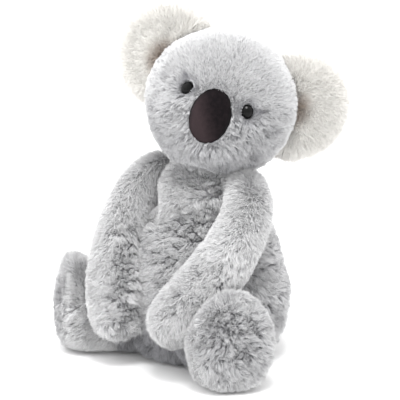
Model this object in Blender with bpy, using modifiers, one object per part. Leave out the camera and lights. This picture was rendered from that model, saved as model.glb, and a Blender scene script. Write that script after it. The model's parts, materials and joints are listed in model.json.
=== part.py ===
"""A sitting plush koala: sewn pile skins over fibre stuffing, with ears, nose and lock-washer eyes.

Metres, +Z up. The koala sits on z = 0 and looks along -Y, and its own left side is +X.
"""

import math

import bmesh
import bpy
from mathutils import Matrix, Vector
from mathutils.bvhtree import BVHTree
from mathutils.geometry import interpolate_bezier

MM = 0.001
FORWARD = Vector((0, -1, 0))
UP = Vector((0, 0, 1))
SIDES = {"left": 1, "right": -1}

# Clearances and fabric
FIT_GAP = 0.3 * MM
FIBRE_GAP = 0.6 * MM
SKIN_WALL = 2.6 * MM
SEAT_CUT = 0.5 * MM
OVERRUN = 20 * MM
MERGE = 0.01 * MM

# Body
BODY_HEIGHT = 124 * MM
BELLY_WIDTH = 104 * MM
BELLY_DEPTH = 94 * MM
BODY_LEAN = 9 * MM
POUCH_HEIGHT = 18 * MM

# Neck and shoulders share one ball at the top of the body
NECK_PIVOT = Vector((0, 8 * MM, 105 * MM))
SHOULDER_BALL_RADIUS = 30 * MM
NECK_HOLE_RADIUS = 11 * MM
NECK_PLUG_LENGTH = 9 * MM

# Head
HEAD_WIDTH = 90 * MM
HEAD_HEIGHT = 90 * MM
HEAD_DEPTH = 92 * MM
MUZZLE_DROP = 3 * MM
NECK_TO_HEAD = Vector((7 * MM, 5 * MM, 61.5 * MM))
HEAD_TURN = math.radians(30.5)
HEAD_COCK = math.radians(20)

# Nose
NOSE_WIDTH = 28 * MM
NOSE_HEIGHT = 36 * MM
NOSE_BULGE = 8 * MM
NOSE_RISE = 1.1 * MM
NOSE_SINK = 4 * MM
NOSE_WALL = 1.2 * MM

# Eyes
EYE_RADIUS = 4.6 * MM
EYE_BULGE = 4.2 * MM
EYE_SINK = 2 * MM
EYE_TURN = math.radians(26.7)
EYE_RAISE = math.radians(10.7)
EYE_SHAFT_RADIUS = 1.6 * MM
EYE_SHAFT_LENGTH = 11 * MM
SHAFT_RIB = 0.35 * MM
SHAFT_RIBS = 3
WASHER_RADIUS = 4.6 * MM
WASHER_THICKNESS = 1.2 * MM
WASHER_DEPTH = 3.2 * MM

# Ears
EAR_RADIUS = 29.5 * MM
EAR_THICKNESS = 13 * MM
EAR_REACH = 50 * MM
EAR_ROOT_REACH = 44.5 * MM
EAR_RAISE = math.radians(12)
EAR_BACK = math.radians(20)
EAR_FOLD = math.radians(20)
EAR_WALL = 1.8 * MM

# Arms
ARM_RADIUS = 13.5 * MM
PAW_RADIUS = 17 * MM
LEFT_ARM_PATH = [  # shoulder, two bends and paw, lower at the shoulder that the head leans over
    Vector((27 * MM, 7 * MM, 114 * MM)),
    Vector((55 * MM, 2 * MM, 119 * MM)),
    Vector((65 * MM, -42 * MM, 80 * MM)),
    Vector((20 * MM, -64 * MM, 29 * MM)),
]
RIGHT_ARM_PATH = [
    Vector((-27 * MM, 7 * MM, 117 * MM)),
    Vector((-55.5 * MM, 2 * MM, 121.5 * MM)),
    Vector((-45.5 * MM, -46 * MM, 75 * MM)),
    Vector((-16 * MM, -62 * MM, 23 * MM)),
]

# Legs
HIP_PIVOT = Vector((35 * MM, -24 * MM, 24.5 * MM))
HIP_BALL_RADIUS = 24 * MM
LEG_RADIUS = 20.5 * MM
FOOT_WIDTH = 47.5 * MM
FOOT_HEIGHT = 65.5 * MM
FOOT_POINT = Vector((71.5 * MM, -54.5 * MM, 24.5 * MM))
SOLE_DEPTH = 8 * MM

# Closing seam at the back
THREAD_RADIUS = 0.4 * MM
STITCH_WIDTH = 3 * MM
SEAM_LOW = 30 * MM
SEAM_HIGH = 74 * MM
STITCHES = 11

# Mesh counts
BODY_SIDES = 8
HEAD_SIDES = 8
LIMB_SIDES = 5
EAR_SIDES = 8
FINE = 2
COARSE = 1
BALL_SEGMENTS = 16
HOLLOW_BALL_SEGMENTS = 10
NOSE_SEGMENTS = 16
NOSE_RINGS = 10
ROUND_SEGMENTS = 16
ARM_SAMPLES = 101

# Rings of each form, as shares of its own sizes, chosen by hand
BODY_RING_SHARES = [  # height, half-width, half-depth, lean
    (-0.011, 0.66, 0.66, 0.0),
    (0.12, 0.99, 0.98, 0.0),
    (0.38, 1.06, 1.06, 0.15),
    (0.66, 0.84, 0.87, 0.6),
    (0.84, 0.60, 0.64, 1.0),
    (1.09, 0.36, 0.40, 1.0),
]
DOME_WEIGHT_SHARES = [0, 0, 0, 0.2, 1, 1]
HEAD_RING_SHARES = [  # towards the face, half-width, half-height, drop
    (-0.97, 0.44, 0.44, 0.0),
    (-0.58, 0.92, 0.92, 0.0),
    (0.24, 1.05, 1.04, 0.15),
    (0.76, 0.68, 0.68, 0.8),
    (1.03, 0.34, 0.36, 1.0),
]
EAR_RING_SHARES = [  # thickness, radius
    (-1.0, 0.62),
    (-0.5, 0.97),
    (0.5, 0.97),
    (1.0, 0.62),
]
ARM_RING_SHARES = [  # along the arm, share of the way from arm to paw radius, size of the ring
    (0.0, 0.0, 0.95),
    (0.30, 0.0, 1.0),
    (0.62, 0.45, 1.0),
    (0.89, 1.0, 1.02),
    (1.0, 1.0, 0.62),
]
LEG_RING_SHARES = [  # along the leg, share of the way from leg to foot size, size of the ring
    (0.0, 0.0, 0.95),
    (0.5, 0.3, 1.0),
    (0.9, 1.0, 1.03),
    (1.06, 0.9, 0.66),
]


for old in list(bpy.data.objects):
    bpy.data.objects.remove(old, do_unlink=True)

toy = bpy.data.collections.new("plush_koala")
cutters = bpy.data.collections.new("cutters")
bpy.context.scene.collection.children.link(toy)
bpy.context.scene.collection.children.link(cutters)


def material(name, colour, roughness):
    """A Principled finish in one colour."""
    made = bpy.data.materials.new(name)
    made.use_nodes = True
    shader = made.node_tree.nodes["Principled BSDF"]
    shader.inputs["Base Color"].default_value = (*colour, 1)
    shader.inputs["Roughness"].default_value = roughness
    shader.inputs["Metallic"].default_value = 0
    made.diffuse_color = (*colour, 1)
    return made


GREY_PILE = material("grey_pile", (0.46, 0.46, 0.47), 0.95)
CREAM_PILE = material("cream_pile", (0.80, 0.78, 0.73), 0.95)
SUEDE = material("brown_suede", (0.035, 0.024, 0.026), 0.85)
BLACK_EYE = material("black_eye", (0.006, 0.006, 0.006), 0.12)
WHITE_FIBRE = material("white_fibre", (0.85, 0.85, 0.84), 0.9)
POUCH_CLOTH = material("pouch_cloth", (0.55, 0.50, 0.42), 0.9)
WASHER_PLASTIC = material("washer_plastic", (0.80, 0.80, 0.78), 0.45)
GREY_THREAD = material("grey_thread", (0.30, 0.30, 0.31), 0.8)


def placed(name, mesh, finish=None, parent=None):
    """An object of the toy, or a cutter when it has no finish."""
    made = bpy.data.objects.new(name, mesh)
    if finish:
        mesh.materials.append(finish)
        toy.objects.link(made)
    else:
        made.hide_render = True
        made.display_type = "WIRE"
        cutters.objects.link(made)
    made.parent = parent
    return made


def frame(name, at, turn=None, parent=None):
    """An empty that carries pieces: a joint's place or a piece's own frame."""
    made = bpy.data.objects.new(name, None)
    made.location = at
    if turn:
        made.rotation_euler = turn.to_euler()
    toy.objects.link(made)
    made.parent = parent
    return made


def boolean(target, operation, other):
    """A live Boolean with another object."""
    cut = target.modifiers.new(f"{operation.lower()}_{other.name}", "BOOLEAN")
    cut.operation = operation
    cut.object = other


def rounded(target, levels):
    """Catmull-Clark rounding of a coarse cage."""
    swell = target.modifiers.new("rounded", "SUBSURF")
    swell.levels = levels
    swell.render_levels = levels
    target.data.shade_smooth()


def faceted(target):
    """Splits the rounded form's warped quads alike on skin, hollow and filling, so their gap stays even."""
    facets = target.modifiers.new("faceted", "TRIANGULATE")
    facets.quad_method = "FIXED"


def mesh_of(shape, name):
    """A mesh from a bmesh, which is freed."""
    mesh = bpy.data.meshes.new(name)
    shape.to_mesh(mesh)
    shape.free()
    return mesh


def cage(name, rings, sides):
    """A capped cage through rings, each a placing matrix and two half-widths.

    The half-widths are those of the rounded form: the cage stands out by what rounding takes off a corner.
    """
    corner_share = 3 / (2 + math.cos(math.tau / sides))
    places = [
        place @ Matrix.Diagonal((half_side * corner_share, half_rise * corner_share, 1, 1))
        for place, half_side, half_rise in rings
    ]
    shape = bmesh.new()
    bmesh.ops.create_circle(shape, segments=sides, radius=1, matrix=places[0])
    first = loop = shape.edges[:]
    for near, far in zip(places, places[1:]):
        grown = bmesh.ops.extrude_edge_only(shape, edges=loop)["geom"]
        corners = [item for item in grown if isinstance(item, bmesh.types.BMVert)]
        bmesh.ops.transform(shape, matrix=far @ near.inverted(), verts=corners)
        edges = [item for item in grown if isinstance(item, bmesh.types.BMEdge)]
        loop = [edge for edge in edges if set(edge.verts) <= set(corners)]
    for end in (first, loop):
        bmesh.ops.contextual_create(shape, geom=end)
    bmesh.ops.recalc_face_normals(shape, faces=shape.faces)
    return mesh_of(shape, name)


def aimed(centre, direction):
    """A ring's place: its plane faces along a direction, with its second half-width upright."""
    side = direction.cross(UP).normalized()
    rise = side.cross(direction).normalized()
    turn = Matrix((side, rise, direction.normalized())).transposed().to_4x4()
    return Matrix.Translation(centre) @ turn


def ball(name, radius, centre, segments, parent=None):
    """A ball whose corners lie on its radius."""
    shape = bmesh.new()
    bmesh.ops.create_uvsphere(shape, u_segments=segments, v_segments=segments // 2, radius=radius)
    made = placed(name, mesh_of(shape, name), parent=parent)
    made.location = centre
    return made


def clearing_ball(name, radius, centre, parent=None):
    """A ball whose faces all lie outside its radius, so what it cuts clears a ball of that radius."""
    facet_share = 1 / math.cos(math.pi / BALL_SEGMENTS) ** 2
    return ball(name, radius * facet_share, centre, BALL_SEGMENTS, parent)


def block(name, size, centre, turn=None, parent=None):
    """A box cutter."""
    shape = bmesh.new()
    bmesh.ops.create_cube(shape, size=1, matrix=Matrix.Diagonal((*size, 1)))
    made = placed(name, mesh_of(shape, name), parent=parent)
    made.location = centre
    if turn:
        made.rotation_euler = turn.to_euler()
    return made


def turned(name, profile, finish=None, parent=None, ring=False):
    """A piece turned about its own Z, from radius and height pairs that run down its outer side.

    A ring's profile closes on itself, away from the axis.
    """
    mesh = bpy.data.meshes.new(name)
    steps = [(n, n + 1) for n in range(len(profile) - 1)]
    if ring:
        steps.append((len(profile) - 1, 0))
    mesh.from_pydata([(radius, 0, height) for radius, height in profile], steps, [])
    made = placed(name, mesh, finish, parent)
    spin = made.modifiers.new("turned", "SCREW")
    spin.steps = ROUND_SEGMENTS
    spin.render_steps = ROUND_SEGMENTS
    spin.use_merge_vertices = True
    spin.merge_threshold = MERGE
    return made


def pin_profile(radius, low, high):
    """The profile of a plain round cutter."""
    return [(0, high), (radius, high), (radius, low), (0, low)]


# The ground levels every piece that rests on it.
ground_size = 6 * BELLY_WIDTH
ground = block("ground", (ground_size, ground_size, OVERRUN), (0, 0, -OVERRUN / 2))

shoulder_centre = frame("shoulder_centre", NECK_PIVOT)
neck_aim = NECK_TO_HEAD.normalized()
neck_frame = frame("neck_turn", NECK_PIVOT, neck_aim.to_track_quat("Z", "Y"))
shoulder_clearance = clearing_ball("shoulder_clearance", SHOULDER_BALL_RADIUS + FIT_GAP, NECK_PIVOT)


def body_form(name, inset, levels, segments, finish=None):
    """The body with its hip balls, drawn in by an inset: the skin, its hollow or the filling."""
    rings = []
    for height, width, depth, lean in BODY_RING_SHARES:
        centre = Vector((0, lean * BODY_LEAN, height * BODY_HEIGHT))
        if not rings:
            centre.z += inset
        halves = (width * BELLY_WIDTH / 2 - inset, depth * BELLY_DEPTH / 2 - inset)
        rings.append((Matrix.Translation(centre), *halves))
    made = placed(name, cage(name, rings, BODY_SIDES), finish)
    dome = made.vertex_groups.new(name="dome")
    for place, share in enumerate(DOME_WEIGHT_SHARES):
        first = place * BODY_SIDES
        dome.add(list(range(first, first + BODY_SIDES)), share, "REPLACE")
    rounded(made, levels)
    cast = made.modifiers.new("shoulder_ball", "CAST")
    cast.object = shoulder_centre
    cast.factor = 1
    cast.use_radius_as_size = False
    cast.size = SHOULDER_BALL_RADIUS - inset
    cast.vertex_group = "dome"
    faceted(made)
    for label, side in SIDES.items():
        centre = Vector((side * HIP_PIVOT.x, HIP_PIVOT.y, HIP_PIVOT.z))
        boolean(made, "UNION", ball(f"{name}_hip_{label}", HIP_BALL_RADIUS - inset, centre, segments))
    return made


def body():
    """The body skin, its fibre, the bean pouch in the rump and the plug of fibre in the neck."""
    skin = body_form("body_skin", 0, FINE, BALL_SEGMENTS, GREY_PILE)
    hollow = body_form("body_hollow", SKIN_WALL, COARSE, HOLLOW_BALL_SEGMENTS)
    neck_hole = turned(
        "neck_hole",
        pin_profile(NECK_HOLE_RADIUS + FIT_GAP, SHOULDER_BALL_RADIUS - NECK_PLUG_LENGTH - FIT_GAP,
                    SHOULDER_BALL_RADIUS + OVERRUN),
        parent=neck_frame,
    )
    for cutter in (hollow, neck_hole, ground):
        boolean(skin, "DIFFERENCE", cutter)

    pouch_size = (2 * BELLY_WIDTH, 2 * BELLY_WIDTH, POUCH_HEIGHT)
    below_pouch_top = block("below_pouch_top", pouch_size, (0, 0, POUCH_HEIGHT / 2))
    filling_low = block("filling_low", pouch_size, (0, 0, POUCH_HEIGHT / 2 + FIT_GAP))
    inset = SKIN_WALL + FIBRE_GAP
    filling = body_form("body_filling", inset, COARSE, HOLLOW_BALL_SEGMENTS, WHITE_FIBRE)
    boolean(filling, "DIFFERENCE", filling_low)
    boolean(filling, "DIFFERENCE", neck_hole)
    pouch = body_form("bean_pouch", inset, COARSE, HOLLOW_BALL_SEGMENTS, POUCH_CLOTH)
    boolean(pouch, "INTERSECT", below_pouch_top)

    crown = ball("neck_crown", SHOULDER_BALL_RADIUS, NECK_PIVOT, BALL_SEGMENTS)
    plug_profile = pin_profile(
        NECK_HOLE_RADIUS, SHOULDER_BALL_RADIUS - NECK_PLUG_LENGTH, SHOULDER_BALL_RADIUS + OVERRUN
    )
    plug = turned("neck_filling", plug_profile, WHITE_FIBRE, neck_frame)
    boolean(plug, "INTERSECT", crown)


def head_form(name, inset, levels, finish=None, parent=None):
    """The head with its muzzle, along the face's direction, drawn in by an inset."""
    rings = []
    for reach, width, height, drop in HEAD_RING_SHARES:
        centre = FORWARD * (reach * (HEAD_DEPTH / 2 - inset))
        centre.z = -drop * MUZZLE_DROP
        halves = (width * HEAD_WIDTH / 2 - inset, height * HEAD_HEIGHT / 2 - inset)
        rings.append((aimed(centre, FORWARD), *halves))
    made = placed(name, cage(name, rings, HEAD_SIDES), finish, parent)
    rounded(made, levels)
    faceted(made)
    return made


head_turn = Matrix.Rotation(HEAD_TURN, 3, "Z") @ Matrix.Rotation(HEAD_COCK, 3, "Y")
head_frame = frame("head_frame", NECK_PIVOT + NECK_TO_HEAD, head_turn)
head_clearance = head_form("head_clearance", -FIT_GAP, FINE, parent=head_frame)


def eye_frame(label, side):
    """A frame on the head, with its Z out through the eye and its origin on the eye's flat back."""
    flat = math.cos(EYE_RAISE)
    aim = Vector((side * math.sin(EYE_TURN) * flat, -math.cos(EYE_TURN) * flat, math.sin(EYE_RAISE)))
    surface = BVHTree.FromObject(head_clearance, bpy.context.evaluated_depsgraph_get())
    spot = surface.ray_cast(Vector((0, 0, 0)), aim)[0]
    reach = spot.length - FIT_GAP - EYE_SINK
    return frame(f"eye_frame_{label}", aim * reach, aim.to_track_quat("Z", "Y"), head_frame)


def eye(label, seat):
    """A domed safety eye on its ribbed shaft, and the lock washer pressed on it inside the head."""
    quarter_steps = 5
    angles = [n * math.pi / 2 / quarter_steps for n in range(quarter_steps)]
    dome = [(EYE_RADIUS * math.sin(angle), EYE_BULGE * math.cos(angle)) for angle in angles]
    shaft = [(EYE_RADIUS, 0), (EYE_SHAFT_RADIUS, 0)]
    rib_step = (EYE_SHAFT_LENGTH - WASHER_DEPTH) / (SHAFT_RIBS + 1)
    for n in range(SHAFT_RIBS):
        low = -WASHER_DEPTH - (n + 1) * rib_step
        shaft += [(EYE_SHAFT_RADIUS, low + rib_step / 2), (EYE_SHAFT_RADIUS - SHAFT_RIB, low)]
    shaft += [(EYE_SHAFT_RADIUS - SHAFT_RIB, -EYE_SHAFT_LENGTH), (0, -EYE_SHAFT_LENGTH)]
    made = turned(f"eye_{label}", dome + shaft, BLACK_EYE, seat)
    made.data.shade_smooth()
    bore = EYE_SHAFT_RADIUS + FIT_GAP
    high = -WASHER_DEPTH
    low = high - WASHER_THICKNESS
    turned(
        f"eye_washer_{label}",
        [(bore, high), (WASHER_RADIUS, high), (WASHER_RADIUS, low), (bore, low)],
        WASHER_PLASTIC,
        seat,
        ring=True,
    )


def head():
    """The head skin and fibre with the eyes, their washers and the nose."""
    skin = head_form("head_skin", 0, FINE, GREY_PILE, head_frame)
    hollow = head_form("head_hollow", SKIN_WALL, COARSE, parent=head_frame)
    filling = head_form("head_filling", SKIN_WALL + FIBRE_GAP, COARSE, WHITE_FIBRE, head_frame)
    boolean(skin, "DIFFERENCE", hollow)
    boolean(skin, "DIFFERENCE", shoulder_clearance)
    boolean(filling, "DIFFERENCE", shoulder_clearance)
    for label, side in SIDES.items():
        seat = eye_frame(label, side)
        eye(label, seat)
        bore = EYE_SHAFT_RADIUS + FIT_GAP
        dent = [(EYE_RADIUS + FIT_GAP, OVERRUN), (EYE_RADIUS + FIT_GAP, -FIT_GAP), (bore, -FIT_GAP)]
        washer_floor = -WASHER_DEPTH - WASHER_THICKNESS - FIT_GAP
        pocket_radius = WASHER_RADIUS + FIT_GAP
        pocket = [(pocket_radius, OVERRUN), (pocket_radius, washer_floor), (bore, washer_floor)]
        top, through = [(0, OVERRUN)], [(bore, -OVERRUN), (0, -OVERRUN)]
        eye_dent = turned(f"eye_dent_{label}", top + dent + through, parent=seat)
        washer_pocket = turned(f"washer_pocket_{label}", top + pocket + through, parent=seat)
        boolean(skin, "DIFFERENCE", eye_dent)
        boolean(filling, "DIFFERENCE", washer_pocket)


def nose_oval(name, inset, finish=None):
    """The nose's oval, drawn in by an inset and pressed against the muzzle."""
    shape = bmesh.new()
    half = (NOSE_WIDTH / 2 - inset, NOSE_BULGE - inset, NOSE_HEIGHT / 2 - inset, 1)
    bmesh.ops.create_uvsphere(
        shape, u_segments=NOSE_SEGMENTS, v_segments=NOSE_RINGS, radius=1, matrix=Matrix.Diagonal(half)
    )
    made = placed(name, mesh_of(shape, name), finish, head_frame)
    made.location = (0, NOSE_SINK - HEAD_DEPTH / 2, NOSE_RISE - MUZZLE_DROP)
    made.data.shade_smooth()
    return made


def nose():
    """The suede cover and its small pad of fibre."""
    cover = nose_oval("nose_cover", 0, SUEDE)
    boolean(cover, "DIFFERENCE", nose_oval("nose_hollow", NOSE_WALL))
    boolean(cover, "DIFFERENCE", head_clearance)
    filling = nose_oval("nose_filling", NOSE_WALL + FIBRE_GAP, WHITE_FIBRE)
    boolean(filling, "DIFFERENCE", head_clearance)


def ear_form(name, inset, seat, finish=None):
    """A round, flat cushion in the ear's frame, whose Y is the ear's thickness."""
    rings = []
    for thickness, radius in EAR_RING_SHARES:
        centre = Vector((0, thickness * (EAR_THICKNESS / 2 - inset), 0))
        half = radius * EAR_RADIUS - inset
        rings.append((aimed(centre, -FORWARD), half, half))
    made = placed(name, cage(name, rings, EAR_SIDES), finish, seat)
    rounded(made, COARSE)
    faceted(made)
    return made


def ear(label, side):
    """An ear sewn from a front and a back panel over wadding, and cut clear of the head through its fold."""
    level = math.cos(EAR_RAISE)
    aim = Vector((side * level * math.cos(EAR_BACK), math.sin(EAR_BACK), math.sin(EAR_RAISE)))
    aim.normalize()
    back = (aim * aim.dot(FORWARD) - FORWARD).normalized()
    turn = Matrix((aim, back, aim.cross(back))).transposed()
    seat = frame(f"ear_frame_{label}", aim * EAR_REACH, turn, head_frame)
    fold = frame(f"ear_fold_{label}", aim * EAR_ROOT_REACH, turn, head_frame)
    shares = (-1, 0, 1)
    clearances = []
    for share in shares:
        fold_turn = Matrix.Rotation(share * EAR_FOLD, 3, "Z")
        swing = frame(f"ear_swing_{label}_{share + 1}", (0, 0, 0), fold_turn, fold)
        clearance = head_form(f"head_from_ear_{label}_{share + 1}", -FIT_GAP, FINE, parent=swing)
        clearance.matrix_parent_inverse = (head_local(fold)).inverted()
        clearances.append(clearance)
    size = (4 * EAR_RADIUS, OVERRUN, 4 * EAR_RADIUS)
    hollow = ear_form(f"ear_{label}_hollow", EAR_WALL, seat)
    pieces = []
    for part, way in (("front", -1), ("back", 1)):
        panel = ear_form(f"ear_{label}_{part}", 0, seat, CREAM_PILE)
        other_half = block(
            f"ear_{label}_beside_{part}", size, (0, way * (FIT_GAP / 2 - OVERRUN / 2), 0), parent=seat
        )
        boolean(panel, "DIFFERENCE", hollow)
        boolean(panel, "DIFFERENCE", other_half)
        pieces.append(panel)
    pieces.append(ear_form(f"ear_{label}_filling", EAR_WALL + FIBRE_GAP, seat, WHITE_FIBRE))
    for piece in pieces:
        for clearance in clearances:
            boolean(piece, "DIFFERENCE", clearance)


def head_local(carried):
    """A carried frame's matrix in the head's frame."""
    return Matrix.LocRotScale(carried.location, carried.rotation_euler, None)


def arm_form(name, inset, path, finish=None):
    """An arm that swells into its paw, along a bent path, drawn in by an inset."""
    last = ARM_SAMPLES - 1
    line = interpolate_bezier(*path, ARM_SAMPLES)
    tip_aim = (line[-1] - line[-2]).normalized()
    rings = []
    for along, paw_share, size in ARM_RING_SHARES:
        place = round(along * last)
        aim = line[min(place + 1, last)] - line[max(place - 1, 0)]
        radius = (ARM_RADIUS + paw_share * (PAW_RADIUS - ARM_RADIUS)) * size - inset
        centre = line[place].copy()
        if along == 0:
            centre += aim.normalized() * inset
        if along == 1:
            centre -= tip_aim * inset
        rings.append((aimed(centre, aim), radius, radius))
    made = placed(name, cage(name, rings, LIMB_SIDES), finish)
    rounded(made, COARSE if inset > 0 else FINE)
    faceted(made)
    return made


def arm(label, side):
    """An arm skin, open where it is sewn on and cut clear of the body and leg, and its fibre."""
    path = LEFT_ARM_PATH if side > 0 else RIGHT_ARM_PATH
    skin = arm_form(f"arm_{label}_skin", 0, path, GREY_PILE)
    filling = arm_form(f"arm_{label}_filling", SKIN_WALL + FIBRE_GAP, path, WHITE_FIBRE)
    for piece in (skin, filling):
        for clearance in (body_clearance, shoulder_clearance, leg_clearances[label]):
            boolean(piece, "DIFFERENCE", clearance)
    boolean(skin, "DIFFERENCE", arm_form(f"arm_{label}_hollow", SKIN_WALL, path))


def leg_form(name, inset, side, finish=None):
    """A leg that swells into its upright foot, drawn in by an inset."""
    hip = Vector((side * HIP_PIVOT.x, HIP_PIVOT.y, HIP_PIVOT.z))
    foot = Vector((side * FOOT_POINT.x, FOOT_POINT.y, FOOT_POINT.z))
    aim = foot - hip
    rings = []
    for along, foot_share, size in LEG_RING_SHARES:
        half_side = (LEG_RADIUS + foot_share * (FOOT_WIDTH / 2 - LEG_RADIUS)) * size
        half_rise = LEG_RADIUS + foot_share * (FOOT_HEIGHT / 2 - LEG_RADIUS)
        centre = hip + aim * along
        centre.z = half_rise - SEAT_CUT
        if along > 1:
            centre -= aim.normalized() * inset
        rings.append((aimed(centre, aim), half_side - inset, half_rise * size - inset))
    made = placed(name, cage(name, rings, LIMB_SIDES), finish)
    rounded(made, COARSE if inset > 0 else FINE)
    faceted(made)
    return made


def leg(label, side):
    """A leg skin, open at the hip and the foot, the sole panel that closes it, and its fibre."""
    hip = Vector((side * HIP_PIVOT.x, HIP_PIVOT.y, HIP_PIVOT.z))
    foot = Vector((side * FOOT_POINT.x, FOOT_POINT.y, FOOT_POINT.z))
    aim = (foot - hip).normalized()
    turn = aim.to_track_quat("Z", "Y")
    hip_clearance = clearing_ball(f"hip_clearance_{label}", HIP_BALL_RADIUS + FIT_GAP, hip)
    hollow = leg_form(f"leg_{label}_hollow", SKIN_WALL, side)
    size = (2 * FOOT_HEIGHT, 2 * FOOT_HEIGHT, 2 * FOOT_HEIGHT)
    seam = foot - aim * (SOLE_DEPTH / 2)
    before_seam = block(f"leg_{label}_before_seam", size, seam - aim * (FOOT_HEIGHT - FIT_GAP / 2), turn)
    past_seam = block(f"leg_{label}_past_seam", size, seam + aim * (FOOT_HEIGHT - FIT_GAP / 2), turn)
    skin = leg_form(f"leg_{label}_skin", 0, side, GREY_PILE)
    sole = leg_form(f"leg_{label}_sole", 0, side, GREY_PILE)
    filling = leg_form(f"leg_{label}_filling", SKIN_WALL + FIBRE_GAP, side, WHITE_FIBRE)
    for piece in (skin, sole):
        boolean(piece, "DIFFERENCE", hollow)
        boolean(piece, "DIFFERENCE", ground)
    boolean(skin, "DIFFERENCE", past_seam)
    boolean(sole, "DIFFERENCE", before_seam)
    boolean(skin, "DIFFERENCE", hip_clearance)
    boolean(filling, "DIFFERENCE", hip_clearance)


def closing_seam():
    """The ladder stitch that closes the back, a thread laid on the finished body skin."""
    skin = BVHTree.FromObject(bpy.data.objects["body_skin"], bpy.context.evaluated_depsgraph_get())
    points = []
    for n in range(STITCHES + 1):
        height = SEAM_LOW + (SEAM_HIGH - SEAM_LOW) * n / STITCHES
        for across in ((-1, 1) if n % 2 else (1, -1)):
            start = Vector((across * STITCH_WIDTH / 2, BELLY_DEPTH, height))
            spot, normal, _, _ = skin.ray_cast(start, FORWARD)
            points.append(spot + normal * (THREAD_RADIUS + FIT_GAP))
    line = bpy.data.curves.new("back_seam_thread", "CURVE")
    line.dimensions = "3D"
    line.bevel_depth = THREAD_RADIUS
    line.bevel_resolution = 0
    line.use_fill_caps = True
    spline = line.splines.new("POLY")
    spline.points.add(len(points) - 1)
    for point, spot in zip(spline.points, points):
        point.co = (*spot, 1)
    made = bpy.data.objects.new("back_seam_thread", line)
    line.materials.append(GREY_THREAD)
    toy.objects.link(made)


body_clearance = body_form("body_clearance", -FIT_GAP, FINE, BALL_SEGMENTS)
leg_clearances = {}
for label, side in SIDES.items():
    leg_clearances[label] = leg_form(f"leg_{label}_clearance", -FIT_GAP, side)
body()
head()
nose()
for label, side in SIDES.items():
    ear(label, side)
    arm(label, side)
    leg(label, side)
closing_seam()
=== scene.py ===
import itertools
import json
import math

import bmesh
import bpy
import numpy as np
from mathutils import Matrix, Vector
from mathutils.bvhtree import BVHTree


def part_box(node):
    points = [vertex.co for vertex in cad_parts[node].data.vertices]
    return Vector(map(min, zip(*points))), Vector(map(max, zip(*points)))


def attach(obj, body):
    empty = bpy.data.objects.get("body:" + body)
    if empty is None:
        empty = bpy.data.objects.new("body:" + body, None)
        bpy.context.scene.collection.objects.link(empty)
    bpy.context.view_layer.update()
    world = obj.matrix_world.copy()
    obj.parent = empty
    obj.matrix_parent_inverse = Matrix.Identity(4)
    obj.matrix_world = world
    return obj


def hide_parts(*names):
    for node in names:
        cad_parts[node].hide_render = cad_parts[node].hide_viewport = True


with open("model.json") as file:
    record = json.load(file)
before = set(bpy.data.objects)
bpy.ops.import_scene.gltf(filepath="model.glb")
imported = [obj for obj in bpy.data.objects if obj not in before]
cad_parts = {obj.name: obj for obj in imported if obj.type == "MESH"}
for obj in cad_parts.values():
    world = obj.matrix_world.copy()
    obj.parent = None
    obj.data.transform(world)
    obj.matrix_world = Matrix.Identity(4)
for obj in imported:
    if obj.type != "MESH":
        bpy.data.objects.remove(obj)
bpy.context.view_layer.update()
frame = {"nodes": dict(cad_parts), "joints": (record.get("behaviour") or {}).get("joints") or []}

# The room: a sheet of white paper under soft light, which is brightest from above and in front.
# The camera stands at the koala's front left and looks down a little, through a long lens.
CAMERA_TURN = math.radians(40)
CAMERA_RISE = math.radians(14)
CAMERA_DISTANCE = 1.15
CAMERA_LENS = 159
PHOTO_SIDE_PX = 400
AIM_POINT = Vector((0, 0, 0.105))
AIM_PX = (201, 195)
PAPER_SIDE = 6
PAPER_WHITE = (0.95, 0.95, 0.95, 1)
SKY_WHITE = (1, 1, 1, 1)
SKY_STRENGTH = 1.46
LAMPS = {  # place in metres, width in metres, power in watts
    "key_softbox": ((-0.9, -1.2, 1.6), 2.4, 18),
    "top_softbox": ((0.35, -0.42, 1.35), 0.42, 11),
}

scene = bpy.context.scene
eye_line = Vector((
    math.sin(CAMERA_TURN) * math.cos(CAMERA_RISE),
    -math.cos(CAMERA_TURN) * math.cos(CAMERA_RISE),
    math.sin(CAMERA_RISE),
))
bpy.ops.object.camera_add(
    location=AIM_POINT + eye_line * CAMERA_DISTANCE,
    rotation=eye_line.to_track_quat("Z", "Y").to_euler(),
)
scene.camera = bpy.context.object
scene.camera.data.lens = CAMERA_LENS
scene.camera.data.shift_x = (PHOTO_SIDE_PX / 2 - AIM_PX[0]) / PHOTO_SIDE_PX
scene.camera.data.shift_y = (AIM_PX[1] - PHOTO_SIDE_PX / 2) / PHOTO_SIDE_PX
scene.view_settings.view_transform = "Standard"

bpy.ops.object.select_all(action="DESELECT")
bpy.ops.mesh.primitive_plane_add(size=PAPER_SIDE)
paper = bpy.context.object
paper.name = "paper_floor"
paper_finish = bpy.data.materials.new("white_paper")
paper_finish.use_nodes = True
paper_shader = paper_finish.node_tree.nodes["Principled BSDF"]
paper_shader.inputs["Base Color"].default_value = PAPER_WHITE
paper_shader.inputs["Roughness"].default_value = 0.9
paper_shader.inputs["Specular IOR Level"].default_value = 0.1
paper.data.materials.append(paper_finish)

sky = bpy.data.worlds.new("studio")
sky.use_nodes = True
sky.node_tree.nodes["Background"].inputs["Color"].default_value = SKY_WHITE
sky.node_tree.nodes["Background"].inputs["Strength"].default_value = SKY_STRENGTH
scene.world = sky
for lamp_name, (lamp_place, lamp_width, lamp_power) in LAMPS.items():
    lamp_aim = Vector(lamp_place) - AIM_POINT
    bpy.ops.object.light_add(
        type="AREA", location=lamp_place, rotation=lamp_aim.to_track_quat("Z", "Y").to_euler()
    )
    lamp = bpy.context.object
    lamp.name = lamp_name
    lamp.data.size = lamp_width
    lamp.data.energy = lamp_power

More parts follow.
